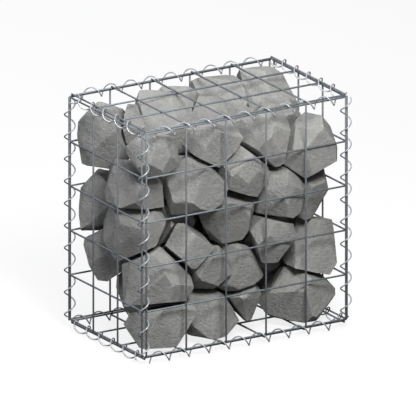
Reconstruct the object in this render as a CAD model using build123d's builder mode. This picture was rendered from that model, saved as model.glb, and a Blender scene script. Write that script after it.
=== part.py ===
from build123d import *
from math import ceil, cos, radians, sin
from random import Random
import os

# Welded mesh basket, millimetres: six panels laced together along their edges by wire spirals.
mesh_pitch = 100.0        # square mesh, wire to wire
cells_wide = 5
cells_deep = 3
cells_high = 5
mesh_wire = 4.0           # thickness of the mesh wire
wire_sides = 6
weld_bite = 0.4           # depth that crossed wires melt into each other
corner_reach = 7.0        # from a panel's own edge wire out to the outer wires of its neighbour
end_gap = 0.35            # room between the cut ends of wires at a corner

# Spiral binders
spiral_wire = 3.0
spiral_radius = 11.6      # to the middle of the wire, at the corners of its chords
turns_a_cell = 2
chords_per_turn = 8
spiral_sides = 4
spiral_seat = 0.45        # room between a spiral and the edge wire that it hangs on
upright_end = 2.0         # an upright spiral stops this far short of the basket's corners
level_end = 12.0          # the others stop clear of the upright ones

# Stone fill
stone_joint = 0.4         # room left where two stones bear on each other
mesh_joint = 0.3          # room between a stone and the mesh or spiral that holds it
chip_angle = 24.0         # how far a stone's broken faces stray from an even spread, degrees
least_reach = 0.8         # the deepest a face is broken back, as a share of the stone's reach
corner_share = 1.4        # the furthest that a stone's corners stand out, as a share of its reach

# Worked out from the sizes above
width = cells_wide * mesh_pitch
depth = cells_deep * mesh_pitch
height = cells_high * mesh_pitch
outer_layer = corner_reach
inner_layer = corner_reach - mesh_wire + weld_bite
wire_stub = inner_layer - mesh_wire / 2 - end_gap
inside = inner_layer - mesh_wire / 2 - mesh_joint
spiral_pitch = mesh_pitch / turns_a_cell
wire_corner = mesh_wire / 2 / cos(radians(180 / wire_sides))
spiral_bore = spiral_radius * cos(radians(180 / chords_per_turn)) - spiral_wire / 2
spiral_hang = spiral_bore - wire_corner - spiral_seat
corner_cut = spiral_radius + spiral_wire / 2 + mesh_joint

os.makedirs("parts", exist_ok=True)
pieces = {}


def mesh_panel(name, corner, x_dir, outward, cells_x, cells_y):
    """Welded mesh: wires along the panel's y outside, wires along its x inside, fused where they cross."""
    panel_plane = Plane(corner, x_dir=x_dir, z_dir=outward)
    across, up = panel_plane.x_dir, panel_plane.y_dir
    with BuildPart() as panel:
        with BuildSketch(Plane(panel_plane.origin - up * wire_stub, x_dir=across, z_dir=up)):
            for i in range(cells_x + 1):
                with Locations((i * mesh_pitch, -outer_layer)):
                    RegularPolygon(mesh_wire / 2, wire_sides, major_radius=False)
        extrude(amount=cells_y * mesh_pitch + 2 * wire_stub)
        with BuildSketch(Plane(panel_plane.origin - across * wire_stub, x_dir=up, z_dir=across)):
            for i in range(cells_y + 1):
                with Locations((i * mesh_pitch, inner_layer)):
                    RegularPolygon(mesh_wire / 2, wire_sides, major_radius=False)
        extrude(amount=cells_x * mesh_pitch + 2 * wire_stub)
    pieces[name] = panel.part


# The basket's own corner, front left bottom, is at zero while the pieces are made.
mesh_panel("front_panel", (0, 0, 0), (1, 0, 0), (0, -1, 0), cells_wide, cells_high)
mesh_panel("back_panel", (width, depth, 0), (-1, 0, 0), (0, 1, 0), cells_wide, cells_high)
mesh_panel("left_panel", (0, depth, 0), (0, -1, 0), (-1, 0, 0), cells_deep, cells_high)
mesh_panel("right_panel", (width, 0, 0), (0, 1, 0), (1, 0, 0), cells_deep, cells_high)
mesh_panel("lid_panel", (0, 0, height), (1, 0, 0), (0, 0, 1), cells_wide, cells_deep)
mesh_panel("base_panel", (width, 0, 0), (-1, 0, 0), (0, 0, -1), cells_wide, cells_deep)


def spiral(name, edge_wire, hang_angle, direction, zero_side, length, end, start_angle):
    """A wire spiral of short straight chords around an edge, hung on one of the edge wires inside it."""
    edge = Plane(edge_wire, x_dir=zero_side, z_dir=direction)
    hang = Vector(cos(radians(hang_angle)), sin(radians(hang_angle))) * spiral_hang
    chords = ceil((length - 2 * end) / spiral_pitch * chords_per_turn)
    points = []
    for i in range(chords + 1):
        along = end + (length - 2 * end) * i / chords
        angle = radians(start_angle + 360 * along / spiral_pitch)
        turn = Vector(cos(angle), sin(angle)) * spiral_radius
        points.append(edge.from_local_coords(hang + turn + Vector(0, 0, along)))
    with BuildPart() as coil:
        with BuildLine() as path:
            Polyline(*points)
        with BuildSketch(Plane(points[0], z_dir=points[1] - points[0])):
            RegularPolygon(spiral_wire / 2, spiral_sides)
        sweep(path=path.line, transition=Transition.RIGHT)
    pieces[name] = coil.part


# Upright ones: side and front or back of the edge wire, where it hangs, where the spiral's wire starts.
# Angles are from +X towards +Y.
for name, x, y, hang, start in [
        ("spiral_front_left", 0, -outer_layer, 129, 160),
        ("spiral_front_right", width + outer_layer, 0, -141, 10),
        ("spiral_back_left", 0, depth + outer_layer, -129, 67),
        ("spiral_back_right", width + outer_layer, depth, 141, 20)]:
    spiral(name, (x, y, 0), hang, (0, 0, 1), (1, 0, 0), height, upright_end, start)

# Ones along the width, angles from +Y towards +Z.
for name, y, z, hang, start in [
        ("spiral_top_front", 0, height + inner_layer, -131, 106),
        ("spiral_top_back", depth, height + inner_layer, -32, 64),
        ("spiral_bottom_front", -inner_layer, 0, -77, 190),
        ("spiral_bottom_back", depth + inner_layer, 0, -103, 297)]:
    spiral(name, (0, y, z), hang, (1, 0, 0), (0, 1, 0), width, level_end, start)

# Ones along the depth, angles from +Z towards +X.
for name, x, z, hang, start in [
        ("spiral_top_left", 0, height + outer_layer, -130, -54),
        ("spiral_top_right", width, height + outer_layer, 155, -16),
        ("spiral_bottom_left", -inner_layer, 0, 177, 164),
        ("spiral_bottom_right", width + inner_layer, 0, 183, 200)]:
    spiral(name, (x, 0, z), hang, (0, 1, 0), (0, 0, 1), depth, level_end, start)

# Stone fill, laid out in mesh cells from the front left bottom corner of the basket.
# middle (x, y, z), reach from the middle to the broken faces, and the number of the stone's own break.
laid_cells = Vector(5, 3, 5)
cell = Vector(width / laid_cells.X, depth / laid_cells.Y, height / laid_cells.Z)
stones = {
    "stone_front_top_1": [((0.62, 0.64, 4.26), 0.50, 221)],
    "stone_front_top_2": [((2.09, 0.67, 4.23), 0.53, 345)],
    "stone_front_top_3": [((3.48, 0.75, 4.19), 0.62, 111)],
    "stone_front_top_4": [((4.42, 0.53, 3.81), 0.67, 347)],
    "stone_front_upper_1": [((1.69, 0.73, 3.34), 0.69, 199)],
    "stone_front_upper_2": [((2.67, 0.73, 3.44), 0.74, 330)],
    "stone_front_upper_3": [((3.76, 0.68, 2.87), 0.65, 207)],
    "stone_front_upper_4": [((4.38, 0.85, 2.88), 0.64, 958)],
    "stone_front_middle_1": [((1.48, 0.83, 1.96), 0.56, 199)],
    "stone_front_middle_2": [((2.51, 0.81, 2.78), 0.73, 238)],
    "stone_front_middle_3": [((3.44, 0.47, 2.04), 0.52, 330)],
    "stone_front_middle_4": [((4.64, 0.81, 1.44), 0.68, 143)],
    "stone_front_lower_1": [((0.86, 0.91, 1.34), 0.78, 63)],
    "stone_front_lower_2": [((1.96, 0.77, 1.49), 0.56, 322)],
    "stone_front_lower_3": [((2.68, 0.90, 1.28), 0.65, 322)],
    "stone_front_bottom_1": [((0.81, 0.67, 0.50), 0.62, 345)],
    "stone_front_bottom_2": [((2.12, 0.88, 0.35), 0.66, 914)],
    "stone_front_bottom_3": [((2.80, 0.80, 0.72), 0.51, 109)],
    "stone_front_bottom_4": [((4.30, 0.80, 0.51), 0.73, 148)],
    "stone_left_top": [((0.63, 2.56, 4.16), 0.68, 63)],
    "stone_left_upper": [((0.59, 1.35, 3.28), 0.64, 157)],
    "stone_left_middle_1": [((0.62, 1.43, 2.41), 0.72, 207)],
    "stone_left_middle_2": [((0.79, 2.75, 2.55), 0.71, 63)],
    "stone_left_lower": [((0.63, 2.28, 1.72), 0.60, 567)],
    "stone_left_deep": [((1.17, 1.78, 0.89), 0.70, 773)],
    "stones_top_middle": [((1.01, 2.17, 4.31), 0.49, 802), ((1.65, 2.05, 4.15), 0.78, 335),
                         ((2.94, 1.95, 3.98), 0.77, 0), ((4.29, 1.39, 4.00), 0.56, 762)],
    "stones_top_back": [((2.27, 2.62, 4.16), 0.72, 206), ((3.68, 2.73, 4.28), 0.69, 332),
                       ((4.44, 2.56, 4.28), 0.78, 96)],
    "stones_back": [((x, 2.40, z), 0.60, round(10 * x + 100 * z))
                    for z in (0.55, 1.50, 2.45, 3.40) for x in (1.95, 3.10, 4.30)],
    "stones_middle": [((x, 1.50, z), 0.60, round(10 * x + 100 * z))
                      for z in (1.30, 2.40, 3.40) for x in (1.60, 2.80, 4.00)]
    + [((1.14, 1.13, 2.20), 0.41, 434)],
}


def fill_plane(point, normal, clearance=0.0):
    """A face of the fill: laid out in mesh cells, stretched with the basket, set back by a clearance."""
    origin = Vector(point.X * cell.X, point.Y * cell.Y, point.Z * cell.Z)
    facing = Vector(normal.X / cell.X, normal.Y / cell.Y, normal.Z / cell.Z).normalized()
    return Plane(origin - facing * clearance, z_dir=facing)


def broken_faces(middle, reach, number):
    """Faces spread evenly around a stone, each knocked a little out of line."""
    chance = Random(number)
    faces = []
    spread = [Vector(x, y, z) for x in (-1, 0, 1) for y in (-1, 0, 1) for z in (-1, 0, 1)
              if abs(x) + abs(y) + abs(z) in (1, 3)]
    for direction in spread:
        stray = Vector(*(chance.uniform(-1, 1) for _ in range(3))) * sin(radians(chip_angle))
        normal = (direction.normalized() + stray).normalized()
        faces.append(fill_plane(middle + normal * reach * chance.uniform(least_reach, 1.0), normal))
    return faces


# What the fill keeps clear of: the six sides, and the spirals inside the twelve edges.
basket_middle = Vector(width, depth, height) / 2
bounds = []
for x in (-1, 0, 1):
    for y in (-1, 0, 1):
        for z in (-1, 0, 1):
            out = Vector(x, y, z)
            if abs(x) + abs(y) + abs(z) == 1:
                side = basket_middle + Vector(x * width, y * depth, z * height) / 2
                bounds.append(Plane(side + out * inside, z_dir=out))
            if abs(x) + abs(y) + abs(z) == 2:
                edge = basket_middle + Vector(x * width, y * depth, z * height) / 2
                bounds.append(Plane(edge - out.normalized() * corner_cut, z_dir=out))

rough = []
for name, members in stones.items():
    for middle, reach, number in members:
        middle = Vector(*middle)
        with BuildPart() as blank:
            with Locations((middle.X * cell.X, middle.Y * cell.Y, middle.Z * cell.Z)):
                Box(2.2 * reach * cell.X, 2.2 * reach * cell.Y, 2.2 * reach * cell.Z)
            for face in broken_faces(middle, reach, number) + bounds:
                split(bisect_by=face, keep=Keep.BOTTOM)
        rough.append((name, middle, reach, blank.part))

# Where two stones would share room, both are dressed back to a common face. Corners stand out past the reach.
joints = {i: [] for i in range(len(rough))}
for i, (_, middle_a, reach_a, part_a) in enumerate(rough):
    for j in range(i):
        _, middle_b, reach_b, part_b = rough[j]
        apart = middle_b - middle_a
        if apart.length > corner_share * (reach_a + reach_b):
            continue
        if apart.length > reach_a + reach_b and part_a.distance_to(part_b) > stone_joint:
            continue
        share = (apart.length ** 2 + reach_a ** 2 - reach_b ** 2) / (2 * apart.length ** 2)
        point = middle_a + apart * share
        joints[i].append(fill_plane(point, apart, stone_joint / 2))
        joints[j].append(fill_plane(point, apart * -1, stone_joint / 2))

finished = {}
for i, (name, middle, reach, part) in enumerate(rough):
    with BuildPart() as stone:
        add(part)
        for joint in joints[i]:
            split(bisect_by=joint, keep=Keep.BOTTOM)
    finished.setdefault(name, []).append(stone.part.solid())
for name, solids in finished.items():
    pieces[name] = Compound(children=solids) if len(solids) > 1 else Part(solids[0].wrapped)

# The origin is the middle of the footprint, on the ground under the bottom spirals.
boxes = [piece.bounding_box() for piece in pieces.values()]
ground = Vector(
    (min(box.min.X for box in boxes) + max(box.max.X for box in boxes)) / 2,
    (min(box.min.Y for box in boxes) + max(box.max.Y for box in boxes)) / 2,
    min(box.min.Z for box in boxes))
for name, piece in pieces.items():
    placed = Location(-ground) * piece
    placed.label = name
    export_step(placed, f"parts/{name}.step")
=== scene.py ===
import bpy
import bmesh
import numpy as np
from math import cos, pi, radians, sin
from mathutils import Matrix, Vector, noise
from mathutils.geometry import delaunay_2d_cdt
from random import Random


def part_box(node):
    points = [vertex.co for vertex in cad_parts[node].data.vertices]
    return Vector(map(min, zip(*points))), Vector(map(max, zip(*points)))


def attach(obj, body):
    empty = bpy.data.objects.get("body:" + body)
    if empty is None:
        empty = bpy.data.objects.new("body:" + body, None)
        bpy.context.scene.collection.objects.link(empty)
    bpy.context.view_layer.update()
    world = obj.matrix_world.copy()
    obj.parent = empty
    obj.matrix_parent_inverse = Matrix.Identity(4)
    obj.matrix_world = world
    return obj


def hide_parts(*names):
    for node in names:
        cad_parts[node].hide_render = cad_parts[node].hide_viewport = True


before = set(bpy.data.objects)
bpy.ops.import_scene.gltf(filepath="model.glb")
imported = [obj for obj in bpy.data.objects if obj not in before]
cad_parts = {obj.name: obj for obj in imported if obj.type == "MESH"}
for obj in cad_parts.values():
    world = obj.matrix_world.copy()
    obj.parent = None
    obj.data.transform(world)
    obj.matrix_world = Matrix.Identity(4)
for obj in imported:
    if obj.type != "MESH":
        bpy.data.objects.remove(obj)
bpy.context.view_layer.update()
scene = bpy.context.scene

# The basket as the CAD has it, in metres
PITCH = 0.100                           # square mesh, wire to wire
CELLS = (5, 3, 5)                       # wide, deep, high
MESH_R = 0.0020                         # radius of the mesh wire
OUTER, INNER = 0.0070, 0.0034           # from a panel's own plane to its outer and its inner wires
STUB = 0.00105                          # a mesh wire ends this far past the middle of its last crossing
WELD_BEAD = (0.0011, 0.0021)            # half its thickness through the panel, and its radius
COIL_R, COIL_WIRE = 0.01135, 0.0015     # radius to the middle of a spiral's wire, and the wire's own
COIL_PITCH = PITCH / 2                  # two turns a cell
HANG = 0.00646                          # from the edge wire that a spiral hangs on to the spiral's axis
UPRIGHT_END, LEVEL_END = 0.002, 0.012   # how far short of the basket's corners a spiral stops
MESH_SIDES, COIL_SIDES = 14, 8          # sides of the wires
COIL_STEPS = 28                         # points to a turn

low_f, high_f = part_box("front_panel")
low_l, high_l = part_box("left_panel")
MIDDLE = np.array([(low_f.x + high_f.x) / 2, (low_l.y + high_l.y) / 2, (low_f.z + high_f.z) / 2])
SIZE = np.array(CELLS) * PITCH
CORNER = MIDDLE - SIZE / 2
OFF_AXIS = (0.3, 0.5, 0.81)             # a direction that no wire starts in
SMOOTH_UNDER = radians(50)              # edges that turn less than this are shaded smooth

# How the stones are dressed. Lengths are in metres.
RUN_OF_DRAWS = 11
SPAN, HIDDEN_SPAN, QUICK_SPAN = 0.0036, 0.0060, 0.0075      # side of a triangle of the fine mesh
HIDDEN = ("stones_back", "stones_middle", "stones_top_back")
SAME_CORNER = 0.0004                    # corners of a block closer than this are one
SAME_FACET = radians(1.5)               # facets that turn less than this are one
MATES_FACING = -0.9998                  # cosine between two facets that bear on each other
MATES_APART, MATES_REACH = 0.0007, 0.08     # between their planes, and between their middles
JOINT_LEAN, JOINT_LEAN_MORE = 0.02, 0.13    # rise of a joint's cut: the least, and what chance adds at most
JOINT_WANDER = 0.7                      # how far from straight outwards a joint may open
JOINT_START = 0.0001                    # the cut starts this far under the facet
LONG_EDGE, FLAKED_SHARE = 0.018, 0.22   # edges this long may lose a flake, and this share of them does
FLAKE_DEPTH = (0.0005, 0.0022)
FLAKE_TWIST, FLAKE_TILT = 0.12, 0.2     # how far a flake may lean along its edge and to one side
CREASE = radians(12)                    # edges that turn more than this stay sharp
ROW_SHARE = 0.87                        # distance between rows of points, as a share of the span
EDGE_ROOM = 0.5                         # room from points to the facet's edges, as a share of the span

# Unevenness of the stones: how many to a metre, and how deep
BROAD, BROAD_DEPTH = 24, 0.0008
ROUGH, ROUGH_DEPTH = 70, 0.0006
FINE, FINE_DEPTH = 210, 0.0003
WEAR, WEAR_LEAST, WEAR_MORE = 55, 0.0002, 0.0009
LEAST_DEPTH = 0.0002


# Material helpers
def new_material(name):
    mat = bpy.data.materials.new(name)
    mat.use_nodes = True
    tree = mat.node_tree
    return mat, tree, tree.nodes["Principled BSDF"]


def add_node(tree, kind, **values):
    node = tree.nodes.new(kind)
    for key, value in values.items():
        if key in node.inputs:
            node.inputs[key].default_value = value
        else:
            setattr(node, key, value)
    return node


def noise_texture(tree, place, **values):
    texture = add_node(tree, "ShaderNodeTexNoise", **values)
    tree.links.new(place, texture.inputs["Vector"])
    return texture.outputs["Fac"]


def colour_ramp(tree, factor, stops):
    """Colours along a texture's value, each stop a position and a colour."""
    ramp = tree.nodes.new("ShaderNodeValToRGB")
    first, last = ramp.color_ramp.elements
    first.position, last.position = stops[0][0], stops[-1][0]
    first.color, last.color = (*stops[0][1], 1), (*stops[-1][1], 1)
    for position, colour in stops[1:-1]:
        ramp.color_ramp.elements.new(position).color = (*colour, 1)
    tree.links.new(factor, ramp.inputs["Fac"])
    return ramp.outputs["Color"]


def multiply(tree, share, colour, by):
    mix = add_node(tree, "ShaderNodeMix", data_type="RGBA", blend_type="MULTIPLY", Factor=share)
    tree.links.new(colour, mix.inputs[6])
    tree.links.new(by, mix.inputs[7])
    return mix.outputs[2]


def map_range(tree, value, low, high):
    node = add_node(tree, "ShaderNodeMapRange", **{"To Min": low, "To Max": high})
    tree.links.new(value, node.inputs["Value"])
    return node.outputs["Result"]


def bump(tree, strength, distance, height, under=None):
    """Relief from a texture's value, on top of the relief under it."""
    node = add_node(tree, "ShaderNodeBump", Strength=strength, Distance=distance)
    tree.links.new(height, node.inputs["Height"])
    if under is not None:
        tree.links.new(under, node.inputs["Normal"])
    return node.outputs["Normal"]


# Materials
def stone_material():
    mat, tree, bsdf = new_material("stone")
    place = add_node(tree, "ShaderNodeTexCoord").outputs["Object"]
    broad = noise_texture(tree, place, Scale=11.0, Detail=3.0, Roughness=0.55)
    mottle = noise_texture(tree, place, Scale=120.0, Detail=6.0, Roughness=0.66)
    grain = noise_texture(tree, place, Scale=520.0, Detail=3.0, Roughness=0.7)
    # broad tone from stone to stone and across each one
    tone = colour_ramp(tree, broad, [
        (0.30, (0.265, 0.265, 0.260)), (0.52, (0.315, 0.315, 0.308)), (0.72, (0.37, 0.368, 0.358))])
    patches = colour_ramp(tree, mottle, [
        (0.32, (0.78, 0.78, 0.79)), (0.50, (0.97, 0.97, 0.97)), (0.70, (1.10, 1.10, 1.08))])
    specks = colour_ramp(tree, grain, [
        (0.34, (0.70, 0.70, 0.71)), (0.47, (1.0, 1.0, 1.0)), (0.66, (1.10, 1.10, 1.09))])
    # worn edges are a little paler; hollows are a little darker, as painted shade
    point = add_node(tree, "ShaderNodeNewGeometry").outputs["Pointiness"]
    edge = colour_ramp(tree, point, [
        (0.42, (0.80, 0.80, 0.80)), (0.50, (1.0, 1.0, 1.0)), (0.60, (1.16, 1.16, 1.15))])
    colour = multiply(tree, 0.75, tone, patches)
    colour = multiply(tree, 0.6, colour, specks)
    # the pale worn edges and the painted shade in the hollows go into the colour
    colour = multiply(tree, 0.8, colour, edge)
    # splitting marks: long shallow strokes that wander across the faces
    slant = add_node(tree, "ShaderNodeMapping", Rotation=(0.5, 0.9, 0.4), Scale=(1.0, 0.7, 2.0))
    tree.links.new(place, slant.inputs["Vector"])
    strokes = noise_texture(tree, slant.outputs["Vector"], Scale=62.0, Detail=4.0, Roughness=0.6,
                            Distortion=1.8)
    pits = add_node(tree, "ShaderNodeTexVoronoi", Scale=150.0)
    tree.links.new(place, pits.inputs["Vector"])
    relief = bump(tree, 0.8, 0.0026, strokes)
    relief = bump(tree, 0.8, 0.0027, mottle, relief)
    relief = bump(tree, 0.45, 0.0011, pits.outputs["Distance"], relief)
    relief = bump(tree, 0.5, 0.0008, grain, relief)
    tree.links.new(colour, bsdf.inputs["Base Color"])
    tree.links.new(map_range(tree, mottle, 0.78, 0.96), bsdf.inputs["Roughness"])
    tree.links.new(relief, bsdf.inputs["Normal"])
    bsdf.inputs["Specular IOR Level"].default_value = 0.25
    return mat


def wire_material(name, tones, gloss):
    """Dull zinc in three tones. The least roughness is given, and it goes up by 0.2."""
    mat, tree, bsdf = new_material(name)
    place = add_node(tree, "ShaderNodeTexCoord").outputs["Object"]
    spangle = noise_texture(tree, place, Scale=130.0, Detail=4.0, Roughness=0.6)
    streak = noise_texture(tree, place, Scale=900.0, Detail=2.0, Roughness=0.5)
    tone = colour_ramp(tree, spangle, list(zip((0.30, 0.55, 0.75), tones)))
    tree.links.new(tone, bsdf.inputs["Base Color"])
    tree.links.new(map_range(tree, spangle, gloss, gloss + 0.2), bsdf.inputs["Roughness"])
    tree.links.new(bump(tree, 0.25, 0.0002, streak), bsdf.inputs["Normal"])
    bsdf.inputs["Metallic"].default_value = 0.35
    return mat


def floor_material():
    """Near white with a faint shadow to the camera, and dark to all else, so little light comes back."""
    mat, tree, bsdf = new_material("floor")
    bsdf.inputs["Roughness"].default_value = 0.9
    bsdf.inputs["Specular IOR Level"].default_value = 0.0
    bsdf.inputs["Base Color"].default_value = (0.10, 0.10, 0.10, 1)
    matt = add_node(tree, "ShaderNodeBsdfDiffuse", Color=(0.85, 0.85, 0.85, 1))
    glow = add_node(tree, "ShaderNodeEmission", Strength=1.03, Color=(1, 1, 1, 1))
    white = add_node(tree, "ShaderNodeMixShader", Fac=0.80)
    path = add_node(tree, "ShaderNodeLightPath")
    seen = add_node(tree, "ShaderNodeMath", operation="MAXIMUM")
    pick = add_node(tree, "ShaderNodeMixShader")
    tree.links.new(matt.outputs["BSDF"], white.inputs[1])
    tree.links.new(glow.outputs["Emission"], white.inputs[2])
    tree.links.new(path.outputs["Is Camera Ray"], seen.inputs[0])
    tree.links.new(path.outputs["Is Transmission Ray"], seen.inputs[1])
    tree.links.new(seen.outputs["Value"], pick.inputs["Fac"])
    tree.links.new(bsdf.outputs["BSDF"], pick.inputs[1])
    tree.links.new(white.outputs["Shader"], pick.inputs[2])
    tree.links.new(pick.outputs["Shader"], tree.nodes["Material Output"].inputs["Surface"])
    return mat


STONE_LOOK = stone_material()
MESH_LOOK = wire_material(
    "mesh_wire", [(0.145, 0.165, 0.185), (0.19, 0.213, 0.238), (0.27, 0.295, 0.322)], 0.46)
# the spirals are the same zinc as the mesh, given paler tones: painted sheen that stands in for the light
# on the coils
COIL_LOOK_WITH_PAINTED_SHEEN = wire_material(
    "spiral_wire_painted_sheen", [(0.33, 0.35, 0.375), (0.46, 0.48, 0.505), (0.60, 0.62, 0.64)], 0.26)


# Mesh helpers
class Shape:
    """Vertices and faces gathered from several simple forms, made into one object."""

    def __init__(self):
        self.verts, self.faces, self.creases, self.count = [], [], set(), 0

    def add(self, verts, faces, creases=()):
        self.verts.append(np.asarray(verts, float))
        self.faces += [tuple(i + self.count for i in face) for face in faces]
        self.creases |= {(i + self.count, j + self.count) for i, j in creases}
        self.count += len(verts)

    def tube(self, points, radius, sides):
        """A round wire through points, with slightly rounded sheared ends."""
        points = np.asarray(points, float)
        ahead = np.gradient(points, axis=0)
        ahead /= np.linalg.norm(ahead, axis=1)[:, None]
        side = np.cross(ahead[0], OFF_AXIS)
        bevel, tip = radius * 0.25, radius * 0.75
        path = [(points[0], ahead[0], tip), (points[0] + ahead[0] * bevel, ahead[0], radius)]
        path += [(points[i], ahead[i], radius) for i in range(1, len(points) - 1)]
        path += [(points[-1] - ahead[-1] * bevel, ahead[-1], radius), (points[-1], ahead[-1], tip)]
        turn = np.arange(sides) * 2 * pi / sides
        rings = []
        for at, along, reach in path:
            side = side - along * side.dot(along)
            side /= np.linalg.norm(side)
            other = np.cross(along, side)
            rings.append(at + reach * (np.cos(turn)[:, None] * side + np.sin(turn)[:, None] * other))
        faces = []
        for i in range(len(rings) - 1):
            for j in range(sides):
                k = (j + 1) % sides
                faces.append((i * sides + j, i * sides + k, (i + 1) * sides + k, (i + 1) * sides + j))
        faces.append(tuple(reversed(range(sides))))
        faces.append(tuple(range((len(rings) - 1) * sides, len(rings) * sides)))
        self.add(np.vstack(rings), faces)

    def bead(self, at, along, radii, rings=5, sides=10):
        """The small swelling that a spot weld leaves between two crossed wires."""
        side = np.cross(along, OFF_AXIS)
        side /= np.linalg.norm(side)
        other = np.cross(along, side)
        verts, faces = [at - along * radii[0]], []
        for i in range(1, rings):
            a = pi * i / rings
            for j in range(sides):
                t = 2 * pi * j / sides
                verts.append(at - along * radii[0] * cos(a)
                             + (side * cos(t) + other * sin(t)) * radii[1] * sin(a))
        verts.append(at + along * radii[0])
        last = len(verts) - 1
        for j in range(sides):
            k = (j + 1) % sides
            faces.append((0, 1 + k, 1 + j))
            faces.append((last, last - sides + j, last - sides + k))
            for i in range(rings - 2):
                a, b = 1 + i * sides, 1 + (i + 1) * sides
                faces.append((a + j, a + k, b + k, b + j))
        self.add(verts, faces)

    def make(self, name, material):
        mesh = bpy.data.meshes.new(name)
        mesh.from_pydata(np.vstack(self.verts).tolist(), [], self.faces)
        mesh.shade_smooth()
        mesh.set_sharp_from_angle(angle=SMOOTH_UNDER)
        for edge in mesh.edges:
            if tuple(sorted(edge.vertices)) in self.creases:
                edge.use_edge_sharp = True
        mesh.materials.append(material)
        obj = bpy.data.objects.new(name, mesh)
        scene.collection.objects.link(obj)
        return obj


def stands_for(obj, node):
    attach(obj, "root")
    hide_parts(node)


# Mesh panels
def panel(node, corner, across, out, cells_a, cells_u):
    """Round wires of a welded panel: upright ones outside, cross ones inside, a weld where they meet."""
    across, out = np.array(across, float), np.array(out, float)
    up = np.cross(out, across)
    corner = CORNER + np.array(corner) * SIZE
    shape = Shape()
    for i in range(cells_a + 1):
        start = corner + across * i * PITCH + out * OUTER - up * STUB
        shape.tube([start, start + up * (cells_u * PITCH + 2 * STUB)], MESH_R, MESH_SIDES)
    for i in range(cells_u + 1):
        start = corner + up * i * PITCH + out * INNER - across * STUB
        shape.tube([start, start + across * (cells_a * PITCH + 2 * STUB)], MESH_R, MESH_SIDES)
    for i in range(cells_a + 1):
        for j in range(cells_u + 1):
            at = corner + across * i * PITCH + up * j * PITCH + out * (OUTER + INNER) / 2
            shape.bead(at, out, WELD_BEAD)
    stands_for(shape.make(node + "_wires", MESH_LOOK), node)


wide, deep, high = CELLS
panel("front_panel", (0, 0, 0), (1, 0, 0), (0, -1, 0), wide, high)
panel("back_panel", (1, 1, 0), (-1, 0, 0), (0, 1, 0), wide, high)
panel("left_panel", (0, 1, 0), (0, -1, 0), (-1, 0, 0), deep, high)
panel("right_panel", (1, 0, 0), (0, 1, 0), (1, 0, 0), deep, high)
panel("lid_panel", (0, 0, 1), (1, 0, 0), (0, 0, 1), wide, deep)
panel("base_panel", (1, 0, 0), (-1, 0, 0), (0, 0, -1), wide, deep)


# Spirals
def spiral(node, edge_wire, hang_angle, along, zero_side, length, end, start_angle):
    """A smooth coil that hangs on an edge wire inside it. Angles are in degrees, from zero_side."""
    along, zero = np.array(along, float), np.array(zero_side, float)
    third = np.cross(along, zero)
    hang = radians(hang_angle)
    axis = CORNER + np.array(edge_wire) + HANG * (cos(hang) * zero + sin(hang) * third)
    count = int(round((length - 2 * end) / COIL_PITCH * COIL_STEPS))
    points = []
    for i in range(count + 1):
        s = end + (length - 2 * end) * i / count
        a = radians(start_angle + 360 * s / COIL_PITCH)
        points.append(axis + along * s + COIL_R * (cos(a) * zero + sin(a) * third))
    shape = Shape()
    shape.tube(points, COIL_WIRE, COIL_SIDES)
    stands_for(shape.make(node + "_coil", COIL_LOOK_WITH_PAINTED_SHEEN), node)


# Each spiral with the place of its edge wire, where it hangs and where its wire starts, as in the CAD
width, depth, height = SIZE
for node, x, y, hang, start in [
        ("spiral_front_left", 0, -OUTER, 129, 160),
        ("spiral_front_right", width + OUTER, 0, -141, 10),
        ("spiral_back_left", 0, depth + OUTER, -129, 67),
        ("spiral_back_right", width + OUTER, depth, 141, 20)]:
    spiral(node, (x, y, 0), hang, (0, 0, 1), (1, 0, 0), height, UPRIGHT_END, start)
for node, y, z, hang, start in [
        ("spiral_top_front", 0, height + INNER, -131, 106),
        ("spiral_top_back", depth, height + INNER, -32, 64),
        ("spiral_bottom_front", -INNER, 0, -77, 190),
        ("spiral_bottom_back", depth + INNER, 0, -103, 297)]:
    spiral(node, (0, y, z), hang, (1, 0, 0), (0, 1, 0), width, LEVEL_END, start)
for node, x, z, hang, start in [
        ("spiral_top_left", 0, height + OUTER, -130, -54),
        ("spiral_top_right", width, height + OUTER, 155, -16),
        ("spiral_bottom_left", -INNER, 0, 177, 164),
        ("spiral_bottom_right", width + INNER, 0, 183, 200)]:
    spiral(node, (x, 0, z), hang, (0, 1, 0), (0, 0, 1), depth, LEVEL_END, start)


# Stones
def block(points):
    """The convex block that its corner points span, with flat facets."""
    solid = bmesh.new()
    for p in points:
        solid.verts.new(p)
    bmesh.ops.remove_doubles(solid, verts=solid.verts, dist=SAME_CORNER)
    bmesh.ops.convex_hull(solid, input=solid.verts)
    bmesh.ops.delete(solid, geom=[v for v in solid.verts if not v.link_faces], context="VERTS")
    bmesh.ops.dissolve_limit(solid, angle_limit=SAME_FACET, verts=solid.verts, edges=solid.edges)
    bmesh.ops.recalc_face_normals(solid, faces=solid.faces)
    return solid


def islands(mesh):
    """The separate solids of a CAD node."""
    whole = bmesh.new()
    whole.from_mesh(mesh)
    bmesh.ops.remove_doubles(whole, verts=whole.verts, dist=2e-5)
    whole.verts.ensure_lookup_table()
    seen, found = set(), []
    for first in whole.verts:
        if first.index in seen:
            continue
        stack, group = [first], []
        seen.add(first.index)
        while stack:
            here = stack.pop()
            group.append(here)
            for edge in here.link_edges:
                there = edge.other_vert(here)
                if there.index not in seen:
                    seen.add(there.index)
                    stack.append(there)
        found.append(block([v.co.copy() for v in group]))
    whole.free()
    return found


def trim(solid, planes):
    """A convex block cut back to planes, each a point and the way that it faces."""
    for at, out in planes:
        bmesh.ops.bisect_plane(solid, geom=solid.verts[:] + solid.edges[:] + solid.faces[:], dist=1e-7,
                               plane_co=at, plane_no=out, clear_outer=True)
        points = [v.co.copy() for v in solid.verts]
        solid.free()
        solid = block(points)
    return solid


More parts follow.
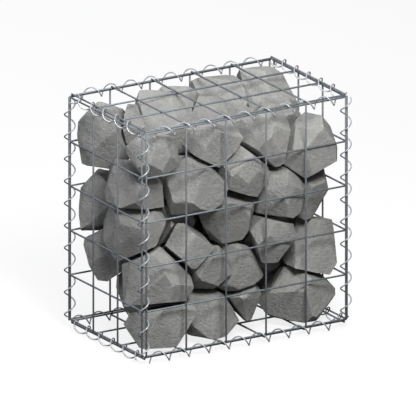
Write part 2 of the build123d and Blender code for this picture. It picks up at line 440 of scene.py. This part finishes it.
def open_joints(solids, chance):
    """Where two stones bear on each other, the joint opens by a few degrees towards the outside."""
    facets = [(i, f.normal.copy(), f.calc_center_median(), [v.co.copy() for v in f.verts])
              for i, solid in enumerate(solids) for f in solid.faces]
    owner = np.array([i for i, _, _, _ in facets])
    facing = np.array([normal for _, normal, _, _ in facets])
    centre = np.array([at for _, _, at, _ in facets])
    level = np.array([corners[0].dot(normal) for _, normal, _, corners in facets])
    cuts = {i: [] for i in range(len(solids))}
    for k, (i, normal, at, corners) in enumerate(facets):
        opposed = (facing @ facing[k] < MATES_FACING) & (np.abs(level + level[k]) < MATES_APART)
        near = np.linalg.norm(centre - centre[k], axis=1) < MATES_REACH
        if not (opposed & near & (owner != i)).any():
            continue
        out = Vector([(a - m) / s for a, m, s in zip(at, MIDDLE, SIZE)]).normalized()
        out += Vector([chance.uniform(-JOINT_WANDER, JOINT_WANDER) for _ in range(3)])
        out = (out - normal * out.dot(normal)).normalized()
        deepest = min(corners, key=out.dot)
        lean = JOINT_LEAN + JOINT_LEAN_MORE * chance.random() ** 1.5
        cuts[i].append((deepest - normal * JOINT_START, (normal + out * lean).normalized()))
    return [trim(solid, cuts[i]) for i, solid in enumerate(solids)]


def chip(solid, chance):
    """Shallow flakes knocked off some of a stone's long edges, deeper at one end."""
    flakes = []
    for e in solid.edges:
        if e.calc_length() < LONG_EDGE or chance.random() > FLAKED_SHARE:
            continue
        a, b = (f.normal for f in e.link_faces)
        along = (e.verts[1].co - e.verts[0].co).normalized()
        out = (a + b).normalized() + along * chance.uniform(-FLAKE_TWIST, FLAKE_TWIST)
        out = (out + a * chance.uniform(-FLAKE_TILT, FLAKE_TILT)).normalized()
        middle = (e.verts[0].co + e.verts[1].co) / 2
        flakes.append((middle - out * chance.uniform(*FLAKE_DEPTH), out))
    return trim(solid, flakes)


def split_edges(solid, span):
    """Points at a block's corners and along its edges, the way that each faces, and the sharp edges."""
    points = [v.co.copy() for v in solid.verts]
    normals = [sum((f.normal for f in v.link_faces), Vector()) for v in solid.verts]
    between, creases = {}, []
    for e in solid.edges:
        i, j = sorted(v.index for v in e.verts)
        n = max(1, round(e.calc_length() / span))
        between[i, j] = [len(points) + k for k in range(n - 1)]
        if e.calc_face_angle(0.0) > CREASE:
            line = [i] + between[i, j] + [j]
            creases += [tuple(sorted(pair)) for pair in zip(line, line[1:])]
        points += [points[i].lerp(points[j], k / n) for k in range(1, n)]
        normals += [sum((f.normal for f in e.link_faces), Vector())] * (n - 1)
    return points, normals, between, creases


def facet_rim(facet, between):
    """The numbers of the points around a facet, in order."""
    rim = []
    for here, after in zip(facet.verts[:], facet.verts[1:] + facet.verts[:1]):
        i, j = here.index, after.index
        middle = between[min(i, j), max(i, j)]
        rim += [i] + (middle if i < j else middle[::-1])
    return rim


def rows_inside(rim, corners, span):
    """Points in staggered rows over a flat facet, clear of its edges."""
    low, high = rim.min(0), rim.max(0)
    step = np.roll(corners, -1, 0) - corners
    step /= np.linalg.norm(step, axis=1)[:, None] + 1e-12
    found = []
    for row in range(int((high[1] - low[1]) / (span * ROW_SHARE)) + 1):
        for column in range(int((high[0] - low[0]) / span) + 2):
            at = low + np.array([(column - 0.5 * (row % 2)) * span, (row + 0.5) * span * ROW_SHARE])
            away = at - corners
            if (step[:, 0] * away[:, 1] - step[:, 1] * away[:, 0]).min() > EDGE_ROOM * span:
                found.append(at)
    return found


def cover(rim, inner):
    """Triangles over a flat outline and its inner points. The outline isn't held where that adds points."""
    if len(rim) == 3 and not inner:
        return [(0, 1, 2)]
    plane = [Vector(p) for p in rim] + [Vector(p) for p in inner]
    _, _, faces, source, _, _ = delaunay_2d_cdt(plane, [], [list(range(len(rim)))], 1, 1e-9)
    if not all(source):
        _, _, faces, source, _, _ = delaunay_2d_cdt(plane, [], [], 0, 1e-9)
    return [tuple(source[i][0] for i in face) for face in faces]


def unevenness(point, on_edge):
    """How far in the surface lies at a point. The three patterns and the wear are shifted apart."""
    broad = max(0.0, noise.noise(point * BROAD))
    rough = abs(noise.noise(point * ROUGH + Vector((7, 3, 1))))
    fine = abs(noise.noise(point * FINE + Vector((1, 9, 4))))
    depth = LEAST_DEPTH + BROAD_DEPTH * broad + ROUGH_DEPTH * rough + FINE_DEPTH * fine
    if on_edge:
        depth += WEAR_LEAST + WEAR_MORE * max(0.0, noise.noise(point * WEAR + Vector((4, 4, 8))))
    return depth


def dressed(solid, span):
    """A stone's facets with a fine mesh, worn edges and a rough surface, all cut inwards from the block."""
    solid.verts.index_update()
    points, normals, between, creases = split_edges(solid, span)
    on_edges = len(points)
    triangles = []
    for f in solid.faces:
        x = (f.verts[1].co - f.verts[0].co).normalized()
        y = f.normal.cross(x)
        lift = f.normal * f.verts[0].co.dot(f.normal)
        rim = facet_rim(f, between)
        flat = np.array([(points[i].dot(x), points[i].dot(y)) for i in rim])
        inner = rows_inside(flat, np.array([(v.co.dot(x), v.co.dot(y)) for v in f.verts]), span)
        numbers = rim + [len(points) + k for k in range(len(inner))]
        points += [x * float(u) + y * float(v) + lift for u, v in inner]
        normals += [f.normal.copy()] * len(inner)
        triangles += [tuple(numbers[i] for i in triangle) for triangle in cover(flat, inner)]
    solid.free()
    points = [tuple(point - normal.normalized() * unevenness(point, i < on_edges))
              for i, (point, normal) in enumerate(zip(points, normals))]
    return points, triangles, creases


chance = Random(RUN_OF_DRAWS)
stones = [(node, solid) for node in sorted(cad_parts) if node.startswith("stone")
          for solid in islands(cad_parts[node].data)]
opened = open_joints([solid for _, solid in stones], chance)
shapes = {}
for (node, _), solid in zip(stones, opened):
    span = HIDDEN_SPAN if node in HIDDEN else SPAN
    shapes.setdefault(node, Shape()).add(*dressed(chip(solid, chance), span))
for node, shape in shapes.items():
    stands_for(shape.make(node + "_worn", STONE_LOOK), node)

# Floor, world, lights and camera
bpy.ops.mesh.primitive_plane_add(size=14, location=(0, 0, 0))
floor = bpy.context.object
floor.name = "floor"
floor.data.materials.append(floor_material())

world = bpy.data.worlds.new("studio")
scene.world = world
world.use_nodes = True
world.node_tree.nodes["Background"].inputs["Color"].default_value = (0.95, 0.98, 1.0, 1)
world.node_tree.nodes["Background"].inputs["Strength"].default_value = 0.15


def turn_to_basket(obj, azimuth, elevation, distance):
    """Sets an object down around the basket and turns it to the middle. Degrees, azimuth from +X."""
    a, e = radians(azimuth), radians(elevation)
    way = Vector((cos(a) * cos(e), sin(a) * cos(e), sin(e)))
    obj.location = Vector(MIDDLE) + way * distance
    obj.rotation_euler = (-way).to_track_quat("-Z", "Y").to_euler()


def area_light(name, azimuth, elevation, distance, size, power, colour):
    data = bpy.data.lights.new(name, "AREA")
    data.shape = "DISK"
    data.size = size
    data.energy = power
    data.color = colour
    obj = bpy.data.objects.new(name, data)
    scene.collection.objects.link(obj)
    turn_to_basket(obj, azimuth, elevation, distance)


# name, azimuth, elevation, distance, size, power, colour
area_light("key", -107, 42, 3.0, 0.9, 96, (1.0, 0.99, 0.975))
area_light("top", -100, 84, 3.0, 2.6, 35, (1.0, 1.0, 1.0))
area_light("fill", -190, 30, 3.2, 2.0, 25, (0.95, 0.97, 1.0))
area_light("back", 82, 32, 3.4, 2.2, 28, (0.97, 0.98, 1.0))

# The photo's own view: parallel, from the front left and above
view_width = 0.891                  # metres across the picture
view_azimuth = -90 - 31.317         # degrees from +X
view_elevation = 17.94
view_distance = 4
view_end = 20                       # nothing beyond this is drawn
camera_data = bpy.data.cameras.new("camera")
camera_data.type = "ORTHO"
camera_data.ortho_scale = view_width
camera_data.clip_end = view_end
camera = bpy.data.objects.new("camera", camera_data)
scene.collection.objects.link(camera)
turn_to_basket(camera, view_azimuth, view_elevation, view_distance)
scene.camera = camera

scene.view_settings.view_transform = "Standard"
